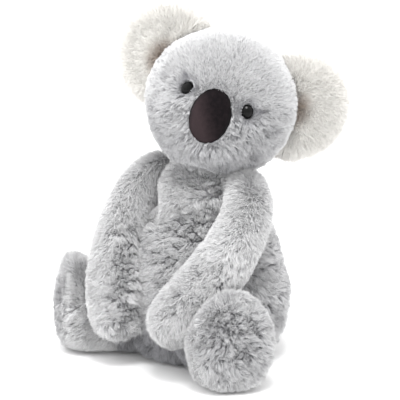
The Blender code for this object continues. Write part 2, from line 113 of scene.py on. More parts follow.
# The body: a pear of grey pile fabric, sewn down the middle and stuffed until it sits by itself.
# Its pile is 7 to 9 mm deep, dark at the foot and light at the tip, and parts into small tufts.
TINY = 1e-9
MERGE_REACH = 1e-6
SKIN_TO_FIBRE = 0.0024  # a face that is further from the fibre is on the skin's outside


def skin_copy(name, node, body, finish):
    """A skin of its own over the fibre, from a merged copy of the frame's solid, which it stands for."""
    mesh = frame["nodes"][node].data.copy()
    shape = bmesh.new()
    shape.from_mesh(mesh)
    bmesh.ops.remove_doubles(shape, verts=shape.verts, dist=MERGE_REACH)
    shape.to_mesh(mesh)
    shape.free()
    mesh.name = name
    mesh.materials.clear()
    mesh.materials.append(finish)
    skin = bpy.data.objects.new(name, mesh)
    scene.collection.objects.link(skin)
    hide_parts(node)
    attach(skin, body)
    return skin


def unit(vectors):
    """Vectors of length 1."""
    return vectors / np.maximum(np.linalg.norm(vectors, axis=-1, keepdims=True), TINY)


def smooth_step(low, high, values):
    """0 below low, 1 above high and smooth between them."""
    share = np.clip((values - low) / (high - low), 0, 1)
    return share * share * (3 - 2 * share)


def across(vectors, normals):
    """What is left of vectors along the surface."""
    return vectors - normals * (vectors * normals).sum(1, keepdims=True)


def outer_faces(skin, fibre, wall):
    """The skin's corners, and the triangles of its outside, which lie a wall away from the fibre."""
    mesh = skin.data
    corners = np.array([corner.co for corner in mesh.vertices])
    mesh.calc_loop_triangles()
    faces = np.array([face.vertices for face in mesh.loop_triangles])
    core = frame["nodes"][fibre].data
    tree = BVHTree.FromPolygons([v.co for v in core.vertices], [list(p.vertices) for p in core.polygons])
    away = np.array([tree.find_nearest(Vector(middle))[3] for middle in corners[faces].mean(1)])
    return corners, faces[away > wall]


def facing(corners, faces):
    """Each corner's normal and each triangle's area."""
    first, second, third = (corners[faces[:, place]] for place in range(3))
    turned = np.cross(second - first, third - first)
    normals = np.zeros_like(corners)
    for place in range(3):
        np.add.at(normals, faces[:, place], turned)
    return unit(normals), np.linalg.norm(turned, axis=1) / 2


HEM_REACH = 0.008  # how far in from its open edges a cover is held
SEAT_HEIGHT = 0.008  # how far up from the floor it is held
CLOTH_START = 0.0012  # how far inside its own place it starts
CLOTH_REACH = 0.0022  # the most that a point of it may move
CLOTH_SPARE = 0.05  # the share by which the cloth is cut too large
CLOTH_PRESSURE = 4
CLOTH_STIFFNESS = 5
CLOTH_FRAMES = 20


def hem_grip(start, faces):
    """1 at the open edges of a cover, where it is sewn down, and 0 a little way in."""
    sides = np.sort(np.concatenate([faces[:, [0, 1]], faces[:, [1, 2]], faces[:, [2, 0]]]), axis=1)
    edges, times = np.unique(sides, axis=0, return_counts=True)
    grip = np.zeros(len(start))
    for hem in start[np.unique(edges[times == 1])]:
        grip = np.maximum(grip, 1 - smooth_step(0, HEM_REACH, np.linalg.norm(start - hem, axis=1)))
    return grip


def blow_out(skin, fibre, wall=SKIN_TO_FIBRE, steady=None):
    """A cover as sewn cloth, simulated while its stuffing fills it.

    Gives the corners and the outside's triangles. The cover starts a little small, of cloth that is cut a
    little large. It is held at its open edges, on the floor, and wherever steady says, from 0 to 1.
    """
    corners, faces = outer_faces(skin, fibre, wall)
    normals, _ = facing(corners, faces)
    used = np.unique(faces)
    place = np.full(len(corners), -1)
    place[used] = np.arange(len(used))
    triangles = place[faces]
    grip = np.maximum(hem_grip(corners[used], triangles), 1 - smooth_step(0, SEAT_HEIGHT, corners[used, 2]))
    if steady is not None:
        grip = np.maximum(grip, steady(corners[used]))
    start = corners[used] - normals[used] * (CLOTH_START * (1 - grip))[:, None]
    mesh = bpy.data.meshes.new("cloth")
    mesh.from_pydata(start.tolist(), [], triangles.tolist())
    cloth = bpy.data.objects.new("cloth", mesh)
    scene.collection.objects.link(cloth)
    held = cloth.vertex_groups.new(name="held")
    for corner, share in enumerate(grip):
        held.add([corner], float(share), "REPLACE")
    sewn = cloth.modifiers.new("sewn", "CLOTH")
    sewn.settings.vertex_group_mass = "held"
    sewn.settings.shrink_min = -CLOTH_SPARE
    sewn.settings.use_pressure = True
    sewn.settings.uniform_pressure_force = CLOTH_PRESSURE
    sewn.settings.tension_stiffness = CLOTH_STIFFNESS
    sewn.settings.compression_stiffness = CLOTH_STIFFNESS
    sewn.settings.effector_weights.gravity = 0
    sewn.point_cache.frame_end = CLOTH_FRAMES
    for moment in range(1, CLOTH_FRAMES + 1):
        scene.frame_set(moment)
    blown = cloth.evaluated_get(bpy.context.evaluated_depsgraph_get()).to_mesh()
    moved = np.array([corner.co for corner in blown.vertices]) - start
    distance = np.linalg.norm(moved, axis=1, keepdims=True)
    corners[used] = start + moved * np.minimum(1, CLOTH_REACH / np.maximum(distance, TINY))
    bpy.data.objects.remove(cloth, do_unlink=True)
    bpy.data.meshes.remove(mesh)
    scene.frame_set(1)
    skin.data.vertices.foreach_set("co", corners.astype(np.float32).ravel())
    return corners, faces


CELL_MIXERS = (73856093, 19349663, 83492791)
SEED_MIXER = 2654435761
ROLL_FACTOR = 6364136223846793005
ROLL_STEP = 1442695040888963407
ROLL_LIMIT = 0x7FFFFFFFFFFFFFFF
ROLL_BITS = 24
PATCH_PULL = 4
PATCH_EDGE = (0.3, 0.7)


def dice(cells, seed):
    """Six even random numbers for each cell of a grid, always the same for one cell and seed."""
    mixed = seed * SEED_MIXER
    for axis, mixer in enumerate(CELL_MIXERS):
        mixed = mixed ^ (cells[:, axis] * mixer)
    rolls = []
    for _ in range(6):
        mixed = (mixed * ROLL_FACTOR + ROLL_STEP) & ROLL_LIMIT
        rolls.append(((mixed >> ROLL_BITS) & (2 ** ROLL_BITS - 1)) / 2 ** ROLL_BITS)
    return np.stack(rolls, 1)


def spots_around(points, spacing, seed):
    """One random spot, and three random numbers, for each of the 27 cells round each point."""
    cells = np.floor(points / spacing).astype(np.int64)
    for step in itertools.product((-1, 0, 1), repeat=3):
        near = cells + np.array(step)
        rolls = dice(near, seed)
        yield (near + rolls[:, :3]) * spacing, rolls[:, 3:]


def tufts(points, spacing, seed):
    """The middle of each point's tuft, and that tuft's three random numbers."""
    nearest = np.full(len(points), np.inf)
    middles = np.zeros_like(points)
    luck = np.zeros_like(points)
    for spots, rolls in spots_around(points, spacing, seed):
        gaps = ((spots - points) ** 2).sum(1)
        closer = gaps < nearest
        nearest[closer] = gaps[closer]
        middles[closer] = spots[closer]
        luck[closer] = rolls[closer]
    return middles, luck


def patches(points, spacing, seed):
    """0 to 1 in broad soft patches, where 1 is where handling has parted the pile."""
    total = np.zeros(len(points))
    weight = np.zeros(len(points))
    for spots, rolls in spots_around(points, spacing, seed):
        gaps = np.linalg.norm(spots - points, axis=1) / spacing
        pull = np.exp(-PATCH_PULL * gaps ** 2)
        total += pull * rolls[:, 0]
        weight += pull
    return smooth_step(*PATCH_EDGE, total / weight)


PILE_UV = "OFBake"
STRAND_WIDTH = 0.00036
STRAND_TRIANGLES = np.array([[0, 2, 1], [1, 2, 3]])  # between its foot, its two sides halfway up, and its tip
STRAND_SIDES = np.array([0, -1, 1, 0])
STRAND_HEIGHTS = np.array([0, 0.5, 0.5, 1])
FLOOR_CLEARANCE = 0.0003
TONE_LIMITS = (0.01, 0.99)
UV_HALF_WIDTH = 0.004


def strand_mesh(name, lines, sideways, tones, finish):
    """Strands as one mesh: each starts at a point, is widest halfway, and ends at a point."""
    count = len(lines)
    middle = lines[:, 1]
    half = sideways * STRAND_WIDTH / 2
    points = np.stack([lines[:, 0], middle - half, middle + half, lines[:, 2]], 1)
    points[..., 2] = np.maximum(points[..., 2], FLOOR_CLEARANCE)
    corners = STRAND_TRIANGLES.ravel()
    corner_count = count * len(corners)
    face_count = count * len(STRAND_TRIANGLES)
    mesh = bpy.data.meshes.new(name)
    mesh.vertices.add(count * len(STRAND_SIDES))
    mesh.vertices.foreach_set("co", points.astype(np.float32).ravel())
    mesh.loops.add(corner_count)
    firsts = np.arange(count)[:, None] * len(STRAND_SIDES)
    mesh.loops.foreach_set("vertex_index", (firsts + corners).astype(np.int32).ravel())
    mesh.polygons.add(face_count)
    mesh.polygons.foreach_set("loop_start", np.arange(0, corner_count, 3, dtype=np.int32))
    mesh.update(calc_edges=True)
    uv = np.empty((count, len(corners), 2), np.float32)
    uv[..., 0] = np.clip(tones[:, None], *TONE_LIMITS) + UV_HALF_WIDTH * STRAND_SIDES[corners]
    uv[..., 1] = STRAND_HEIGHTS[corners]
    mesh.uv_layers.new(name=PILE_UV).data.foreach_set("uv", uv.ravel())
    mesh.polygons.foreach_set("use_smooth", np.ones(face_count, bool))
    mesh.materials.append(finish)
    piece = bpy.data.objects.new(name, mesh)
    scene.collection.objects.link(piece)
    return piece


# Sizes of strands, tufts and locks are in metres. Leans are shares of a strand's length, and tones run from
# 0, dark, to 1, light. A parting of 0 is smooth pile, and 1 is pile that has fully parted into tufts.
PILE_DENSITY = 8.0e6  # strands to a square metre
FINE_TUFT = 0.0023
FULL_TUFT = 0.0030
LOCK_SIZE = 0.008
LOCK_WANDER = 0.002
LOCK_LEAN = 0.28
TUFT_LEAN = 0.24
TUFT_GATHER = 0.38
STRAY_LEAN = 0.3
STRAY = 0.5
LOOSE_STRAY = 1.1
GATHERED_STRAY = 0.5
SHORTEST_STRAND = 0.0005
SHORTEST_SHARE = 0.85
LENGTH_LUCK = 0.25
CLUMP_LENGTH_LUCK = 0.2
CLUMP_LENGTH_LOSS = 0.25
STRAND_DROOP = 0.22
LEAN_CURVE = 1.5
GATHER_CURVE = 1.2
ROOT_DEPTH = 0.0004
STRAND_TWIST = 0.8
TUFT_TONE_LUCK = 0.10
LOCK_TONE_LUCK = 0.08
MEAN_TONE_LUCK = 0.09
STRAND_TONE_LUCK = 0.06


def scatter(corners, faces, density, rng):
    """Roots spread evenly over triangles, and which way is up from the fabric at each."""
    normals, areas = facing(corners, faces)
    count = int(areas.sum() * density)
    spots = (np.arange(count) + rng.random(count)) / count * areas.sum()
    picks = np.minimum(np.searchsorted(np.cumsum(areas), spots), len(faces) - 1)
    first, second = rng.random((2, count))
    flip = first + second > 1
    first[flip] = 1 - first[flip]
    second[flip] = 1 - second[flip]
    shares = np.stack([1 - first - second, first, second], 1)[:, :, None]
    roots = (corners[faces[picks]] * shares).sum(1)
    upright = unit((normals[faces[picks]] * shares).sum(1))
    return roots, upright


def pile(name, outside, body, finish, comb, seed, density=PILE_DENSITY, keep=None,
         tuft_size=FINE_TUFT, lock_size=LOCK_SIZE, flatten=(1, 1, 1), stray=STRAY, cut=None):
    """Pile on the outside of a skin, in one piece or in panels that a cut names.

    comb gives each root's length, its lean along the surface, its tone, and how much the pile parts there.
    Strands gather into tufts, and the tufts into locks that each lean their own way. Tufts and locks are
    broader along an axis that flatten lowers.
    """
    rng = np.random.default_rng(seed)
    roots, upright = scatter(*outside, density, rng)
    lengths, leans, tones, parting = comb(roots, upright)
    stays = lengths > SHORTEST_STRAND
    if keep is not None:
        stays &= keep(roots, upright)
    roots, upright, lengths, leans, tones, parting = (
        part[stays] for part in (roots, upright, lengths, leans, tones, parting)
    )
    count = len(roots)
    tuft_middles, tuft_luck = tufts(roots * flatten, tuft_size, seed + 1)
    tuft_middles = tuft_middles / flatten
    _, lock_luck = tufts(roots * flatten + LOCK_WANDER * (tuft_luck - 0.5), lock_size, seed + 2)
    spread = parting[:, None]
    clump_luck = CLUMP_LENGTH_LUCK * tuft_luck[:, 0] + CLUMP_LENGTH_LUCK * lock_luck[:, 0]
    lengths = lengths * (1 + parting * (clump_luck - CLUMP_LENGTH_LOSS))
    lengths = lengths * (SHORTEST_SHARE + LENGTH_LUCK * rng.random(count))
    lock_lean = across(lock_luck * 2 - 1, upright) * LOCK_LEAN * spread
    tuft_lean = across(tuft_luck * 2 - 1, upright) * TUFT_LEAN * spread
    stray_share = STRAY_LEAN * stray * (LOOSE_STRAY - GATHERED_STRAY * np.minimum(spread, 1))
    stray_lean = across(rng.normal(size=(count, 3)), upright) * stray_share
    leans = across(leans, upright) + lock_lean + tuft_lean + stray_lean
    gather_in = across(tuft_middles - roots, upright) * TUFT_GATHER * spread
    rows = np.array([0, 0.5, 1.0])
    rise = rows * (1 - STRAND_DROOP * rows)
    lines = (
        roots[:, None]
        + (upright * lengths[:, None])[:, None] * rise[None, :, None]
        + (leans * lengths[:, None])[:, None] * (rows ** LEAN_CURVE)[None, :, None]
        + gather_in[:, None] * (rows ** GATHER_CURVE)[None, :, None]
    )
    lines[:, 0] -= upright * ROOT_DEPTH
    twist = STRAND_TWIST * rng.normal(size=(count, 3))
    sideways = unit(np.cross(lines[:, -1] - lines[:, 0], upright + twist))
    tone_luck = TUFT_TONE_LUCK * tuft_luck[:, 1] + LOCK_TONE_LUCK * lock_luck[:, 1] - MEAN_TONE_LUCK
    tones = tones + tone_luck * parting + STRAND_TONE_LUCK * (rng.random(count) - 0.5)
    panels = {"": np.ones(count, bool)} if cut is None else cut(roots)
    for ending, members in panels.items():
        piece = strand_mesh(name + ending, lines[members], sideways[members], tones[members], finish)
        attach(piece, body)


MIX_FIRST = 6  # a Mix node's first colour socket, its second, and its result's
MIX_SECOND = 7
MIX_RESULT = 2
FOOT_TO_MIDDLE = (0.0, 0.55)  # shares of a strand's height
MIDDLE_TO_TIP = (0.45, 1.0)
DARK_TO_LIGHT = (0.0, 1.0)


def pile_shade():
    """A node group: the colour along a strand, from its dark foot to its light tip, and its own tone."""
    group = bpy.data.node_groups.new("pile_shade", "ShaderNodeTree")
    group.interface.new_socket("Strand", in_out="INPUT", socket_type="NodeSocketVector")
    for socket_name in ("Foot", "Middle", "Tip", "Dark Tone"):
        group.interface.new_socket(socket_name, in_out="INPUT", socket_type="NodeSocketColor")
    group.interface.new_socket("Color", in_out="OUTPUT", socket_type="NodeSocketColor")
    nodes, links = group.nodes, group.links
    given = nodes.new("NodeGroupInput")
    result = nodes.new("NodeGroupOutput")
    parts = nodes.new("ShaderNodeSeparateXYZ")
    links.new(given.outputs["Strand"], parts.inputs["Vector"])
    blends = []
    for (low, high), source in ((FOOT_TO_MIDDLE, "Y"), (MIDDLE_TO_TIP, "Y"), (DARK_TO_LIGHT, "X")):
        ramp = nodes.new("ShaderNodeMapRange")
        ramp.interpolation_type = "SMOOTHSTEP"
        ramp.inputs["From Min"].default_value = low
        ramp.inputs["From Max"].default_value = high
        links.new(parts.outputs[source], ramp.inputs["Value"])
        mix = nodes.new("ShaderNodeMix")
        mix.data_type = "RGBA"
        links.new(ramp.outputs["Result"], mix.inputs["Factor"])
        blends.append(mix)
    low_half, high_half, toned = blends
    links.new(given.outputs["Foot"], low_half.inputs[MIX_FIRST])
    links.new(given.outputs["Middle"], low_half.inputs[MIX_SECOND])
    links.new(low_half.outputs[MIX_RESULT], high_half.inputs[MIX_FIRST])
    links.new(given.outputs["Tip"], high_half.inputs[MIX_SECOND])
    darker = nodes.new("ShaderNodeMix")
    darker.data_type = "RGBA"
    darker.blend_type = "MULTIPLY"
    darker.inputs["Factor"].default_value = 1
    links.new(high_half.outputs[MIX_RESULT], darker.inputs[MIX_FIRST])
    links.new(given.outputs["Dark Tone"], darker.inputs[MIX_SECOND])
    links.new(darker.outputs[MIX_RESULT], toned.inputs[MIX_FIRST])
    links.new(high_half.outputs[MIX_RESULT], toned.inputs[MIX_SECOND])
    links.new(toned.outputs[MIX_RESULT], result.inputs["Color"])
    return group


PILE_SHADE = pile_shade()


def pile_finish(name, foot, middle, tip, dark_tone):
    """Pile fabric: soft strands that shade from foot to tip, with a faint sheen."""
    finish = bpy.data.materials.new(name)
    finish.use_nodes = True
    nodes, links = finish.node_tree.nodes, finish.node_tree.links
    shader = nodes["Principled BSDF"]
    shader.inputs["Roughness"].default_value = 0.85
    shader.inputs["Specular IOR Level"].default_value = 0.15
    shader.inputs["Sheen Weight"].default_value = 0.12
    shader.inputs["Sheen Roughness"].default_value = 0.6
    strand = nodes.new("ShaderNodeUVMap")
    strand.uv_map = PILE_UV
    shade = nodes.new("ShaderNodeGroup")
    shade.node_tree = PILE_SHADE
    for socket_name, colour in (("Foot", foot), ("Middle", middle), ("Tip", tip), ("Dark Tone", dark_tone)):
        shade.inputs[socket_name].default_value = (*colour, 1)
    links.new(strand.outputs["UV"], shade.inputs["Strand"])
    links.new(shade.outputs["Color"], shader.inputs["Base Color"])
    return finish


def backing_finish(name, dark, light):
    """The knitted backing under pile: fine dark and light loops."""
    finish = bpy.data.materials.new(name)
    finish.use_nodes = True
    nodes, links = finish.node_tree.nodes, finish.node_tree.links
    shader = nodes["Principled BSDF"]
    shader.inputs["Roughness"].default_value = 0.95
    place = nodes.new("ShaderNodeTexCoord")
    knit = nodes.new("ShaderNodeTexNoise")
    knit.inputs["Scale"].default_value = 900
    knit.inputs["Detail"].default_value = 3
    tint = nodes.new("ShaderNodeValToRGB")
    tint.color_ramp.elements[0].color = (*dark, 1)
    tint.color_ramp.elements[1].color = (*light, 1)
    bump = nodes.new("ShaderNodeBump")
    bump.inputs["Strength"].default_value = 0.6
    bump.inputs["Distance"].default_value = 0.0004
    links.new(place.outputs["Object"], knit.inputs["Vector"])
    links.new(knit.outputs["Fac"], tint.inputs["Fac"])
    links.new(tint.outputs["Color"], shader.inputs["Base Color"])
    links.new(knit.outputs["Fac"], bump.inputs["Height"])
    links.new(bump.outputs["Normal"], shader.inputs["Normal"])
    return finish


GREY_PILE = pile_finish(
    "grey_pile_fabric",
    foot=(0.44, 0.44, 0.45), middle=(0.66, 0.66, 0.67), tip=(0.80, 0.80, 0.80), dark_tone=(0.44, 0.44, 0.46),
)
GREY_BACKING = backing_finish("grey_backing", dark=(0.26, 0.26, 0.27), light=(0.44, 0.44, 0.45))
PATCH_SIZE = 0.020
BODY_PATCHES = 5
BODY_SEED = 11
BODY_PILE = 0.0072
BODY_LEAN = 0.34
BODY_TONE = 0.76
BODY_PARTING = 0.50
BODY_FLATTEN = (0.5, 0.5, 1)
FLOOR_BAND = (0.002, 0.012)
FLOOR_SHARE = 0.6
NECK_BAND = (0.112, 0.126)
NECK_TRIM = 0.35
RUMP_BAND = (0.03, 0.07)
RUMP_FLUFF = 0.25
BELLY_FRONT = (0.0, 0.02)
CHEST_FRONT = (-0.01, 0.01)
CHEST_BAND = (0.088, 0.112)
CHEST_RISE = 0.30
# painted light on the upper chest
CHEST_LIGHT = 0.22
# painted shade on the chest just under the chin
COLLAR_BAND = (0.110, 0.118)
COLLAR_SHADE = 0.20
# painted shade low on the belly's front, by the floor
UNDER_BAND = (0.012, 0.040)
UNDER_SHADE = 0.95
FLANK_SIDE = (0.020, 0.045)
FLANK_BAND = (0.06, 0.10)
# painted shade low on the body's sides
FLANK_SHADE = 0.12
FLANK_PARTING = 0.30
WORN_PARTING = 0.35
PRESSED_HEIGHT = 0.0012
FACING_DOWN = -0.5
WAIST_HEIGHT = 0.050


def body_comb(roots, upright):
    """Down the body, nearly upright over the chest, and shorter at the neck and by the floor."""
    height = roots[:, 2]
    forward = -roots[:, 1]
    off_floor = smooth_step(*FLOOR_BAND, height)
    neck = smooth_step(*NECK_BAND, height)
    rump = 1 - smooth_step(*RUMP_BAND, height)
    chest = smooth_step(*CHEST_BAND, height) * smooth_step(*CHEST_FRONT, forward)
    collar = smooth_step(*COLLAR_BAND, height) * smooth_step(*BELLY_FRONT, forward)
    under = (1 - smooth_step(*UNDER_BAND, height)) * smooth_step(*BELLY_FRONT, forward)
    flank = smooth_step(*FLANK_SIDE, np.abs(roots[:, 0])) * (1 - smooth_step(*FLANK_BAND, height))
    worn = patches(roots, PATCH_SIZE, BODY_PATCHES)
    lengths = BODY_PILE * (1 - NECK_TRIM * neck) * (FLOOR_SHARE + (1 - FLOOR_SHARE) * off_floor)
    lengths = lengths * (1 + RUMP_FLUFF * rump)
    leans = np.zeros_like(roots)
    leans[:, 2] = -BODY_LEAN + CHEST_RISE * chest
    # painted shade under the belly, on the flanks and under the chin; painted light on the chest
    tones = BODY_TONE - UNDER_SHADE * under - FLANK_SHADE * flank
    tones = tones + CHEST_LIGHT * chest - COLLAR_SHADE * collar
    return lengths, leans, tones, BODY_PARTING + WORN_PARTING * worn + FLANK_PARTING * flank


def off_the_floor(roots, upright):
    """Roots that the floor doesn't press on."""
    return (roots[:, 2] > PRESSED_HEIGHT) | (upright[:, 2] > FACING_DOWN)


def quarters(points):
    """The four panels of a cover that is sewn down its middle and its sides."""
    left = points[:, 0] > 0
    front = points[:, 1] < 0
    return {
        "_front_left": left & front, "_front_right": ~left & front,
        "_back_left": left & ~front, "_back_right": ~left & ~front,
    }


def body_panels(points):
    """The quarters of the body's cover, each cut across at the waist."""
    upper = points[:, 2] > WAIST_HEIGHT
    return {
        ending + level: members & part
        for ending, members in quarters(points).items()
        for level, part in (("_upper", upper), ("_lower", ~upper))
    }


body_skin = skin_copy("body_cover", "body_skin", "body", GREY_BACKING)
pile(
    "body_pile", blow_out(body_skin, "body_filling"), "body", GREY_PILE, body_comb, BODY_SEED,
    keep=off_the_floor, cut=body_panels, flatten=BODY_FLATTEN, tuft_size=FULL_TUFT,
)

# The head: a round cover of the same pile, sewn over the crown, turned and tilted on the neck.
# The pile is short and smooth on the forehead, fuller on the cheeks, and combed away from the nose.
SIDES = ("left", "right")
HEAD_TURN = math.radians(30.5)
HEAD_COCK = math.radians(20)
HEAD_MIDDLE = np.array([0.007, 0.013, 0.1665])

turn_z = np.array([
    [math.cos(HEAD_TURN), -math.sin(HEAD_TURN), 0], [math.sin(HEAD_TURN), math.cos(HEAD_TURN), 0], [0, 0, 1]
])
cock_y = np.array([
    [math.cos(HEAD_COCK), 0, math.sin(HEAD_COCK)], [0, 1, 0], [-math.sin(HEAD_COCK), 0, math.cos(HEAD_COCK)]
])
head_axes = turn_z @ cock_y


def in_head(points):
    """Points in the head's own frame: X to its left, -Y to its face, Z to its crown."""
    return (points - HEAD_MIDDLE) @ head_axes


EYE_LIFT = 1.06
nose_middle = np.array(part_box("nose_cover")).mean(0)
nose_in_head = in_head(nose_middle)
eyes_in_head = {side: in_head(np.array(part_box(f"eye_{side}")).mean(0)) * EYE_LIFT for side in SIDES}

HEAD_SEED = 23
CHEEK_PILE = 0.0062
FOREHEAD_PILE = 0.0040
HEAD_TONE = 0.78
FACE_BAND = (0.0, 0.030)
FACE_LEAN = 0.32
# painted shade over the face
FACE_SHADE = 0.12
BACKWARD = np.array([0, 1.0, -0.1])
BACKWARD_LEAN = 0.40
BROW_BAND = (0.002, 0.020)
CHEEK_DROP = 0.2
CROWN_BAND = (0.018, 0.034)
CROWN_FRONT = (-0.03, 0.0)
# painted light on the forehead and crown
FOREHEAD_LIGHT = 0.14
FOREHEAD_SMOOTHING = 0.8
CHIN_BAND = (-0.03, 0.0)
# painted shade under the chin
CHIN_SHADE = 0.24
NEAR_SIDE_BAND = (0.0, 0.03)
# painted shade on the left half of the face
NEAR_SIDE_SHADE = 0.10
SEAM_BAND = (0.0, 0.0012)
SEAM_SHADE = 0.08
SEAM_LEAN = 0.12
NOSE_HALF_WIDTH = 0.0138
NOSE_HALF_HEIGHT = 0.0178
BEHIND_THE_FACE = 9  # what the back of the head adds to the nose's oval, so that it counts as far away
NOSE_BARE = 0.92  # no pile grows where the nose's oval is below this
NOSE_HELD = (1.0, 1.6)
NOSE_BRUSHED = (1.0, 1.7)
NOSE_TUCK = 0.35
NOSE_TRIM = 0.35
EYE_BARE = 0.0062 * 0.82
EYE_HOLLOW = (0.0062 * 0.8, 0.0062 * 1.7)
HOLLOW_TRIM = 0.72
# painted shade in the hollow round each eye
HOLLOW_SHADE = 0.4
HOLLOW_LEAN = 0.8
EYE_CREASES = {  # slope, width and length of the crease beyond each eye
    "left": (0.25, 0.0022, 0.014),
    "right": (1.0, 0.0052, 0.0080),
}
CREASE_START = (0.001, 0.004)
CREASE_FADE = 0.4
CREASE_TRIM = 0.45
# painted shade along the crease beyond each eye
CREASE_SHADE = 0.85


def nose_oval(local):
    """Below 1 under the nose, and rising away from it."""
    across_nose = (local[:, 0] - nose_in_head[0]) / NOSE_HALF_WIDTH
    up_nose = (local[:, 2] - nose_in_head[2]) / NOSE_HALF_HEIGHT
    return across_nose ** 2 + up_nose ** 2 + BEHIND_THE_FACE * (local[:, 1] > 0)


def head_comb(roots, upright):
    """Away from the nose over the face, back over the crown, and short on the forehead and round the eyes."""
    local = in_head(roots)
    front = smooth_step(*FACE_BAND, -local[:, 1])
    high = smooth_step(*BROW_BAND, local[:, 2])
    crown = smooth_step(*CROWN_BAND, local[:, 2]) * smooth_step(*CROWN_FRONT, -local[:, 1])
    forehead = np.maximum(front * high, crown)
    chin = (1 - smooth_step(*CHIN_BAND, local[:, 2])) * front
    near_side = smooth_step(*NEAR_SIDE_BAND, local[:, 0]) * front
    seam = forehead * (1 - smooth_step(*SEAM_BAND, np.abs(local[:, 0])))
    edge = 1 - smooth_step(*NOSE_BRUSHED, nose_oval(local))
    away = unit(local - nose_in_head)
    lengths = CHEEK_PILE + (FOREHEAD_PILE - CHEEK_PILE) * forehead
    lengths = lengths * (1 - NOSE_TRIM * edge)
    leans = away * (FACE_LEAN * front)[:, None] + BACKWARD * (BACKWARD_LEAN * (1 - front))[:, None]
    leans[:, 2] -= CHEEK_DROP * (1 - high)
    leans -= away * (edge * (local[:, 1] < 0))[:, None] * NOSE_TUCK
    leans[:, 0] += SEAM_LEAN * np.sign(local[:, 0]) * seam
    # painted shade over the face, under the chin and on the face's left half; painted light on the forehead
    # and crown
    tones = HEAD_TONE - FACE_SHADE * front + FOREHEAD_LIGHT * forehead
    tones = tones - CHIN_SHADE * chin - NEAR_SIDE_SHADE * near_side - SEAM_SHADE * seam
    for side, place in eyes_in_head.items():
        out = (1 if side == "left" else -1) * (local[:, 0] - place[0])
        near = 1 - smooth_step(*EYE_HOLLOW, np.linalg.norm(local - place, axis=1))
        slope, width, length = EYE_CREASES[side]
        off_line = np.abs(local[:, 2] - place[2] - slope * out)
        crease = (1 - smooth_step(0.0, width, off_line)) * smooth_step(*CREASE_START, out)
        crease *= 1 - smooth_step(CREASE_FADE * length, length, out)
        lengths = lengths * (1 - HOLLOW_TRIM * near) * (1 - CREASE_TRIM * crease)
        # painted shade round each eye and along its crease
        tones = tones - HOLLOW_SHADE * near - CREASE_SHADE * crease
        leans = leans + unit(local - place) * near[:, None] * HOLLOW_LEAN
    return lengths, leans @ head_axes.T, tones, 1 - FOREHEAD_SMOOTHING * forehead


def under_the_nose(points):
    """1 where the nose is sewn on, and 0 a little way from it."""
    return 1 - smooth_step(*NOSE_HELD, nose_oval(in_head(points)))


def on_the_face(roots, upright):
    """Roots that neither the nose nor an eye covers."""
    local = in_head(roots)
    clear = nose_oval(local) > NOSE_BARE
    for place in eyes_in_head.values():
        clear &= np.linalg.norm(local - place, axis=1) > EYE_BARE
    return clear


def head_panels(points):
    """The quarters of the head's cover."""
    return quarters(in_head(points))


head_skin = skin_copy("head_cover", "head_skin", "head", GREY_BACKING)
head_outside = blow_out(head_skin, "head_filling", steady=under_the_nose)
pile(
    "head_pile", head_outside, "head", GREY_PILE, head_comb, HEAD_SEED,
    keep=on_the_face, cut=head_panels,
)

# The arms: long tubes of the same pile that swell into round paws, each sewn on at its shoulder.
# They hang forward over the thighs, with the pile combed towards the paw and ruffled beside the belly.
ARM_SEEDS = {"left": 37, "right": 47}
ARM_PATCHES = 6
ARM_PILE = 0.0068
ARM_TO_FIBRE = 0.0015
ARM_STRAY = 0.75
ARM_LEAN = 0.62
ARM_TONE = 0.98
ARM_WEAR = 0.5
ARM_WEAR_BAND = (0.05, 0.11)  # this band and the next three are distances from the paw's end
PAW_BAND = (0.015, 0.045)
FOREARM_BAND = (0.03, 0.07)
RUFFLE_BAND = (0.05, 0.09)
PAW_FLUFF = 0.12
FOREARM_RISE = 0.26
# painted shade on the forearm and paw
FOREARM_SHADE = 0.14
RUFFLE_WAYS = {"left": (0.60, 0.50, -0.62), "right": (0.78, 0.0, -0.62)}
RUFFLE_FACING = (-0.4, 0.4)
# painted shade on the ruffled side by the belly
RUFFLE_SHADE = 0.02
RUFFLE_PARTING = 1.3
SMOOTH_PARTING = 0.2
SHOULDER_FACING = (0.4, 0.9)
SHOULDER_BAND = (0.100, 0.115)
SHOULDER_FLUFF = 0.4
INWARD_FACING = (0.2, 0.9)
# painted shade on the side of the arm turned to the body, with less of it by the paw
INWARD_SHADE = 0.24
FOREARM_RELIEF = 0.9


def arm_comb_for(paw, ruffle_way):
    """The comb of an arm whose paw ends at a point, ruffled on the side that faces one way."""
    def comb(roots, upright):
        toward = paw - roots
        reach = np.linalg.norm(toward, axis=1)
        forearm = 1 - smooth_step(*FOREARM_BAND, reach)
        paw_end = 1 - smooth_step(*PAW_BAND, reach)
        shoulder_top = smooth_step(*SHOULDER_FACING, upright[:, 2]) * smooth_step(*SHOULDER_BAND, roots[:, 2])
        inward = smooth_step(*INWARD_FACING, -np.sign(paw[0]) * upright[:, 0])
        ruffled = smooth_step(*RUFFLE_FACING, (upright * ruffle_way).sum(1))
        ruffled = ruffled * (1 - smooth_step(*RUFFLE_BAND, reach))
        handled = ARM_WEAR * patches(roots, PATCH_SIZE, ARM_PATCHES)
        worn = np.maximum(handled * (1 - smooth_step(*ARM_WEAR_BAND, reach)), ruffled)
        lengths = ARM_PILE * (1 + PAW_FLUFF * paw_end + SHOULDER_FLUFF * shoulder_top)
        leans = unit(toward) * (ARM_LEAN - FOREARM_RISE * forearm)[:, None]
        # painted shade towards the paw, on the ruffled side and on the side turned to the body
        tones = ARM_TONE - FOREARM_SHADE * forearm - RUFFLE_SHADE * ruffled
        tones = tones - INWARD_SHADE * inward * (1 - FOREARM_RELIEF * forearm)
        return lengths, leans, tones, SMOOTH_PARTING + (RUFFLE_PARTING - SMOOTH_PARTING) * worn
    return comb


def joint_place(name):
    """Where a joint of the frame is."""
    return np.array(next(joint for joint in frame["joints"] if joint["name"] == name)["pos_m"])


